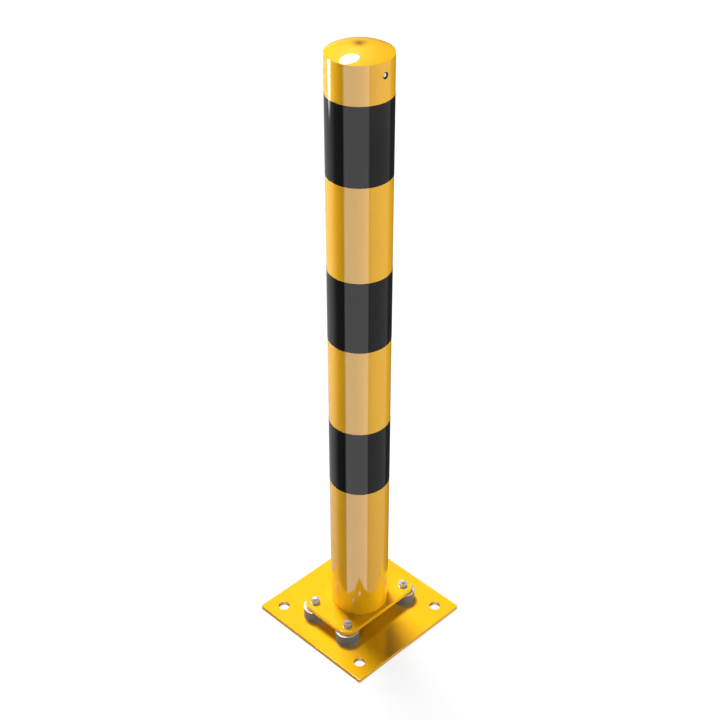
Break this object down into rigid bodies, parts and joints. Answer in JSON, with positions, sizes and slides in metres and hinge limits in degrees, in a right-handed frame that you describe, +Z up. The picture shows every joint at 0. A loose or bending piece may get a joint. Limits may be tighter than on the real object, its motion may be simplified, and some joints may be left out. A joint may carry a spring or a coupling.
{
  "type": "fixed bollard",
  "caption": "Yellow steel bollard with black bands and a domed cap; its post stands on rubber buffers over a square bolt-down base plate, so it gives and springs back.",
  "frame": {"origin": "centre of the underside of the base plate", "axes": "+Z up along the post's axis, +X along the long side of the flange plate, -Y towards the set screw near the top"},
  "size_m": [0.15, 0.15, 0.645],
  "materials": {
    "yellow_coat": "glossy powder coat",
    "black_film": "glossy adhesive film",
    "rubber": "matt moulded rubber",
    "zinc_steel": "bright zinc plated"
  },
  "bodies": {
    "base": {"base_plate": "yellow_coat", "lower_disc_left_front": "zinc_steel", "lower_disc_right_front": "zinc_steel", "lower_disc_left_rear": "zinc_steel", "lower_disc_right_rear": "zinc_steel", "base_screw_left_front": "zinc_steel", "base_screw_right_front": "zinc_steel", "base_screw_left_rear": "zinc_steel", "base_screw_right_rear": "zinc_steel"},
    "buffers": {"rubber_left_front": "rubber", "rubber_right_front": "rubber", "rubber_left_rear": "rubber", "rubber_right_rear": "rubber"},
    "post": {"flange_plate": "yellow_coat", "post_tube": "yellow_coat", "foot_weld": "yellow_coat", "end_cap": "yellow_coat", "set_screw": "zinc_steel", "film_band_1": "black_film", "film_band_2": "black_film", "film_band_3": "black_film", "upper_disc_left_front": "zinc_steel", "upper_disc_right_front": "zinc_steel", "upper_disc_left_rear": "zinc_steel", "upper_disc_right_rear": "zinc_steel", "flange_screw_left_front": "zinc_steel", "flange_screw_right_front": "zinc_steel", "flange_screw_left_rear": "zinc_steel", "flange_screw_right_rear": "zinc_steel"}
  },
  "joints": [
    {"name": "rock_about_x", "type": "hinge", "parent": "base", "child": "buffers", "pos_m": [0, 0, 0.011], "axis": [1, 0, 0], "range_deg": [-4, 4], "stiffness_Nm_per_rad": 250, "deforming": ["rubber_left_front", "rubber_right_front", "rubber_left_rear", "rubber_right_rear"]},
    {"name": "rock_about_y", "type": "hinge", "parent": "buffers", "child": "post", "pos_m": [0, 0, 0.011], "axis": [0, 1, 0], "range_deg": [-3, 3], "stiffness_Nm_per_rad": 700}
  ]
}
